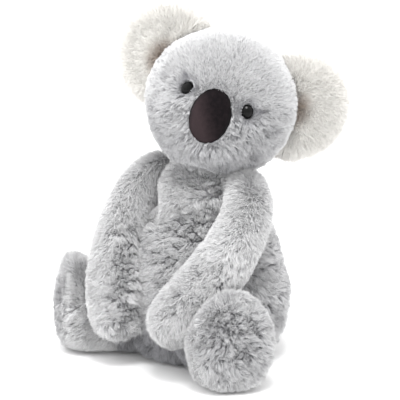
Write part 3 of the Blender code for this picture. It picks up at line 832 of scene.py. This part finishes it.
shoulders = joint_place("arm_left_raise")
for side in SIDES:
    arm_skin = skin_copy(f"arm_{side}_cover", f"arm_{side}_skin", f"arm_{side}", GREY_BACKING)
    arm_outside = blow_out(arm_skin, f"arm_{side}_filling", wall=ARM_TO_FIBRE)
    arm_points = arm_outside[0]
    paw = arm_points[np.argmax(np.linalg.norm(arm_points - shoulders, axis=1))]
    pile(
        f"arm_{side}_pile", arm_outside, f"arm_{side}", GREY_PILE,
        arm_comb_for(paw, np.array(RUFFLE_WAYS[side])), ARM_SEEDS[side],
        keep=off_the_floor, tuft_size=FULL_TUFT, stray=ARM_STRAY,
    )

# The legs: short stuffed tubes that spread from the hips, each closed at the foot by a sole panel.
# The sole is cut from the same pile, which stands out all round its seam and is parted in its middle.
LEG_SEEDS = {"left": 61, "right": 71}
LEG_PATCHES = 7
LEG_PILE = 0.0068
LEG_FLOOR_BAND = (0.002, 0.010)
LEG_FLOOR_SHARE = 0.45
LEG_LEAN = 0.45
LEG_DROP = 0.12
LEG_WEAR = 0.7
SOLE_SEEDS = {"left": 66, "right": 76}
SOLE_RADIUS = 0.03
SOLE_LEAN = 0.45
SOLE_DROP = 0.1
SOLE_TONE = 0.78
# painted light on the parts of the sole that face up
SOLE_TOP_LIGHT = 0.05
SOLE_PARTING = 0.5
SOLE_INNER_BAND = (0.010, 0.030)
# painted shade in the sole's parted middle
SOLE_INNER_SHADE = 0.24
SOLE_INNER_PARTING = 1.2


def leg_lengths(roots):
    """The pile's length on a leg and its sole, shorter by the floor."""
    off_floor = smooth_step(*LEG_FLOOR_BAND, roots[:, 2])
    return LEG_PILE * (LEG_FLOOR_SHARE + (1 - LEG_FLOOR_SHARE) * off_floor)


def leg_comb_for(aim):
    """The comb of a leg that points along an aim."""
    def comb(roots, upright):
        leans = np.tile(aim * LEG_LEAN, (len(roots), 1))
        leans[:, 2] -= LEG_DROP
        worn = LEG_WEAR * patches(roots, PATCH_SIZE, LEG_PATCHES)
        parting = SMOOTH_PARTING + (1 - SMOOTH_PARTING) * worn
        return leg_lengths(roots), leans, np.ones(len(roots)), parting
    return comb


def sole_comb_for(middle, aim):
    """The comb of a sole, outwards from its middle."""
    def comb(roots, upright):
        leans = across(roots - middle, np.tile(aim, (len(roots), 1))) / SOLE_RADIUS * SOLE_LEAN
        leans[:, 2] -= SOLE_DROP
        inner = 1 - smooth_step(*SOLE_INNER_BAND, np.linalg.norm(roots - middle, axis=1))
        # painted light where the sole faces up, painted shade in its middle
        tones = SOLE_TONE + SOLE_TOP_LIGHT * upright[:, 2] - SOLE_INNER_SHADE * inner
        return leg_lengths(roots), leans, tones, SOLE_PARTING + (SOLE_INNER_PARTING - SOLE_PARTING) * inner
    return comb


for side in SIDES:
    leg = f"leg_{side}"
    leg_middle = np.array(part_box(f"leg_{side}_skin")).mean(0)
    sole_middle = np.array(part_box(f"leg_{side}_sole")).mean(0)
    leg_aim = sole_middle - leg_middle
    leg_aim[2] = 0
    leg_aim = unit(leg_aim)
    leg_skin = skin_copy(f"{leg}_cover", f"{leg}_skin", leg, GREY_BACKING)
    sole_skin = skin_copy(f"{leg}_sole_cover", f"{leg}_sole", leg, GREY_BACKING)
    pile(
        f"{leg}_pile", blow_out(leg_skin, f"{leg}_filling"), leg, GREY_PILE,
        leg_comb_for(leg_aim), LEG_SEEDS[side], keep=off_the_floor,
    )
    pile(
        f"{leg}_sole_pile", blow_out(sole_skin, f"{leg}_filling"), leg, GREY_PILE,
        sole_comb_for(sole_middle, leg_aim), SOLE_SEEDS[side], keep=off_the_floor,
    )

# The ears: round pads sewn from two panels of long cream pile, which fluffs out past the rim.
# Near the head the pile is shorter and parted, and painted shade makes it a warm brown there.
CREAM_PILE = pile_finish(
    "cream_pile_fabric",
    foot=(0.84, 0.81, 0.77), middle=(0.885, 0.87, 0.84), tip=(0.90, 0.89, 0.865),
    dark_tone=(0.44, 0.35, 0.29),
)
CREAM_BACKING = backing_finish("cream_backing", dark=(0.78, 0.73, 0.66), light=(0.92, 0.89, 0.85))
EAR_SEEDS = {"left_front": 88, "left_back": 87, "right_front": 98, "right_back": 97}
EAR_LUMPS = 8
EAR_LUMP_SIZE = 0.016
EAR_PILE = 0.0114
EAR_DENSITY = 12e6
EAR_TUFT = 0.0036
EAR_LOCK = 0.010
EAR_STRAY = 0.7
EAR_RADIUS = 0.0295
EAR_TO_FIBRE = 0.0016
EAR_ROOT_BAND = (0.004, 0.016)
EAR_RIM_BAND = (0.6, 1.0)
EAR_SHORTEST = 0.65
EAR_OUTER_GROWTH = 0.2
EAR_LUMP_GROWTH = 0.2
EAR_LEAN = 0.2
EAR_RIM_LEAN = 0.4
# the pile is lighter away from the head, with painted shade of warm brown where the ear meets it
EAR_OUTER_LIGHT = 0.95
# painted shade at the rim
EAR_RIM_SHADE = 0.05
EAR_PARTING = 0.12
EAR_RIM_PARTING = 0.12
EAR_ROOT_PARTING = 0.6


def ear_comb_for(root, middle):
    """The comb of an ear: out from where it joins the head, and outwards all round the rim."""
    def comb(roots, upright):
        out = smooth_step(*EAR_ROOT_BAND, np.linalg.norm(roots - root, axis=1))
        rim = smooth_step(*EAR_RIM_BAND, np.linalg.norm(roots - middle, axis=1) / EAR_RADIUS)
        lumps = patches(roots, EAR_LUMP_SIZE, EAR_LUMPS)
        lengths = EAR_PILE * (EAR_SHORTEST + EAR_OUTER_GROWTH * out + EAR_LUMP_GROWTH * lumps)
        leans = unit(roots - root) * EAR_LEAN + unit(roots - middle) * (EAR_RIM_LEAN * rim)[:, None]
        # painted shade: warm brown near the head, and a little darker at the rim
        tones = EAR_OUTER_LIGHT * out - EAR_RIM_SHADE * rim
        return lengths, leans, tones, EAR_PARTING + EAR_RIM_PARTING * rim + EAR_ROOT_PARTING * (1 - out)
    return comb


for side in SIDES:
    ear = f"ear_{side}"
    ear_root = joint_place(f"ear_{side}_fold")
    ear_middle = np.array(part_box(f"ear_{side}_filling")).mean(0)
    for face_side in ("front", "back"):
        panel_name = f"{ear}_{face_side}"
        panel = skin_copy(f"{panel_name}_cover", panel_name, ear, CREAM_BACKING)
        panel_outside = blow_out(panel, f"{ear}_filling", wall=EAR_TO_FIBRE)
        pile(
            f"{panel_name}_pile", panel_outside, ear, CREAM_PILE,
            ear_comb_for(ear_root, ear_middle), EAR_SEEDS[f"{side}_{face_side}"],
            density=EAR_DENSITY, tuft_size=EAR_TUFT, lock_size=EAR_LOCK, stray=EAR_STRAY,
        )

# The nose: a pad of dark brown suede over a little fibre, pressed to the muzzle and sewn round its edge.
# Its nap is mottled, and painted light makes it dusty brown towards its lower side on the head's right, with
# painted shade towards the other side.
NOSE_SPREAD = 1.06
# painted light across the nose: the way towards its lit side, and the band over which it lightens
NOSE_LIGHT_AXIS = (-0.82, 0, -0.57)
NOSE_LIGHT_BAND = (-0.006, 0.013)
NAP_MOTTLE = 0.5
NAP_STOPS = (0.2, 1.0)
SUEDE_DARK = (0.0045, 0.0032, 0.0040, 1)
SUEDE_DUSTY = (0.030, 0.0205, 0.0225, 1)


def suede_finish(name):
    """Suede with a mottled nap and painted light across it: dusty brown on the lit side, dark in painted
    shade on the other.
    """
    finish = bpy.data.materials.new(name)
    finish.use_nodes = True
    nodes, links = finish.node_tree.nodes, finish.node_tree.links
    shader = nodes["Principled BSDF"]
    shader.inputs["Roughness"].default_value = 0.9
    shader.inputs["Specular IOR Level"].default_value = 0.08
    shader.inputs["Sheen Weight"].default_value = 0.025
    shader.inputs["Sheen Roughness"].default_value = 0.5
    place = nodes.new("ShaderNodeTexCoord")
    centred = nodes.new("ShaderNodeMapping")
    centred.vector_type = "TEXTURE"
    centred.inputs["Location"].default_value = nose_middle
    centred.inputs["Rotation"].default_value = Matrix(head_axes).to_euler()
    # painted light: the pad lightens towards the head's right and downwards
    light_axis = nodes.new("ShaderNodeVectorMath")
    light_axis.operation = "DOT_PRODUCT"
    light_axis.inputs[1].default_value = NOSE_LIGHT_AXIS
    lit_side = nodes.new("ShaderNodeMapRange")
    lit_side.interpolation_type = "SMOOTHSTEP"
    lit_side.inputs["From Min"].default_value = NOSE_LIGHT_BAND[0]
    lit_side.inputs["From Max"].default_value = NOSE_LIGHT_BAND[1]
    nap = nodes.new("ShaderNodeTexNoise")
    nap.inputs["Scale"].default_value = 420
    nap.inputs["Detail"].default_value = 5
    grain = nodes.new("ShaderNodeTexNoise")
    grain.inputs["Scale"].default_value = 2600
    grain.inputs["Detail"].default_value = 2
    # the nap's mottle plus the painted light
    worn = nodes.new("ShaderNodeMath")
    worn.operation = "MULTIPLY_ADD"
    worn.inputs[1].default_value = NAP_MOTTLE
    tint = nodes.new("ShaderNodeValToRGB")
    tint.color_ramp.elements[0].position = NAP_STOPS[0]
    tint.color_ramp.elements[1].position = NAP_STOPS[1]
    tint.color_ramp.elements[0].color = SUEDE_DARK
    tint.color_ramp.elements[1].color = SUEDE_DUSTY
    bump = nodes.new("ShaderNodeBump")
    bump.inputs["Strength"].default_value = 0.8
    bump.inputs["Distance"].default_value = 0.0003
    for texture in (nap, grain):
        links.new(place.outputs["Object"], texture.inputs["Vector"])
    links.new(place.outputs["Object"], centred.inputs["Vector"])
    links.new(centred.outputs["Vector"], light_axis.inputs[0])
    links.new(light_axis.outputs["Value"], lit_side.inputs["Value"])
    links.new(nap.outputs["Fac"], worn.inputs[0])
    links.new(lit_side.outputs["Result"], worn.inputs[2])
    links.new(worn.outputs["Value"], tint.inputs["Fac"])
    links.new(tint.outputs["Color"], shader.inputs["Base Color"])
    links.new(grain.outputs["Fac"], bump.inputs["Height"])
    links.new(bump.outputs["Normal"], shader.inputs["Normal"])
    return finish


SUEDE = suede_finish("brown_suede_nap")
nose = skin_copy("nose_pad", "nose_cover", "head", SUEDE)
nose_place = Vector(nose_middle)
nose_turn = Matrix(head_axes)
for corner in nose.data.vertices:
    own = nose_turn.transposed() @ (corner.co - nose_place)
    corner.co = nose_place + nose_turn @ Vector((own.x * NOSE_SPREAD, own.y, own.z * NOSE_SPREAD))
for face in nose.data.polygons:
    face.use_smooth = True

# The eyes: glossy black plastic domes on shafts, which are pushed through holes in the head's cover.
# A white lock washer, pressed onto each shaft from inside the head, holds the eye for good.
DARK_GRAIN = 0.8


def plain_finish(name, colour, roughness, grain_scale, grain_depth, specular=0.5):
    """A moulded or fibrous finish with a fine grain."""
    finish = bpy.data.materials.new(name)
    finish.use_nodes = True
    nodes, links = finish.node_tree.nodes, finish.node_tree.links
    shader = nodes["Principled BSDF"]
    shader.inputs["Roughness"].default_value = roughness
    shader.inputs["Specular IOR Level"].default_value = specular
    place = nodes.new("ShaderNodeTexCoord")
    grain = nodes.new("ShaderNodeTexNoise")
    grain.inputs["Scale"].default_value = grain_scale
    bump = nodes.new("ShaderNodeBump")
    bump.inputs["Strength"].default_value = 0.5
    bump.inputs["Distance"].default_value = grain_depth
    shade = nodes.new("ShaderNodeMix")
    shade.data_type = "RGBA"
    shade.inputs[MIX_FIRST].default_value = (*(DARK_GRAIN * value for value in colour), 1)
    shade.inputs[MIX_SECOND].default_value = (*colour, 1)
    links.new(place.outputs["Object"], grain.inputs["Vector"])
    links.new(grain.outputs["Fac"], bump.inputs["Height"])
    links.new(grain.outputs["Fac"], shade.inputs["Factor"])
    links.new(shade.outputs[MIX_RESULT], shader.inputs["Base Color"])
    links.new(bump.outputs["Normal"], shader.inputs["Normal"])
    return finish


def refinish(node, finish):
    """Gives a frame node a better finish."""
    for place in frame["nodes"][node].material_slots:
        place.material = finish


EYE_GLOSS = plain_finish(
    "black_eye_gloss", (0.002, 0.002, 0.002),
    roughness=0.06, grain_scale=300, grain_depth=0.00001, specular=0.14,
)
WASHER = plain_finish(
    "washer_moulding", (0.80, 0.80, 0.78), roughness=0.45, grain_scale=1500, grain_depth=0.00005
)
for side in SIDES:
    refinish(f"eye_{side}", EYE_GLOSS)
    refinish(f"eye_washer_{side}", WASHER)

# Inside and behind: polyester fibre in every part, beans in a cloth pouch in the rump,
# and the ladder stitch that closed the back once the body was full.
FIBRE = plain_finish(
    "polyester_fibre", (0.85, 0.85, 0.84), roughness=0.9, grain_scale=700, grain_depth=0.0006
)
POUCH_CLOTH = plain_finish(
    "pouch_weave", (0.55, 0.50, 0.42), roughness=0.9, grain_scale=1200, grain_depth=0.0003
)
THREAD = plain_finish(
    "grey_sewing_thread", (0.30, 0.30, 0.31), roughness=0.8, grain_scale=3000, grain_depth=0.0001
)
for node in frame["nodes"]:
    if node.endswith("_filling"):
        refinish(node, FIBRE)
refinish("bean_pouch", POUCH_CLOTH)
refinish("back_seam_thread", THREAD)
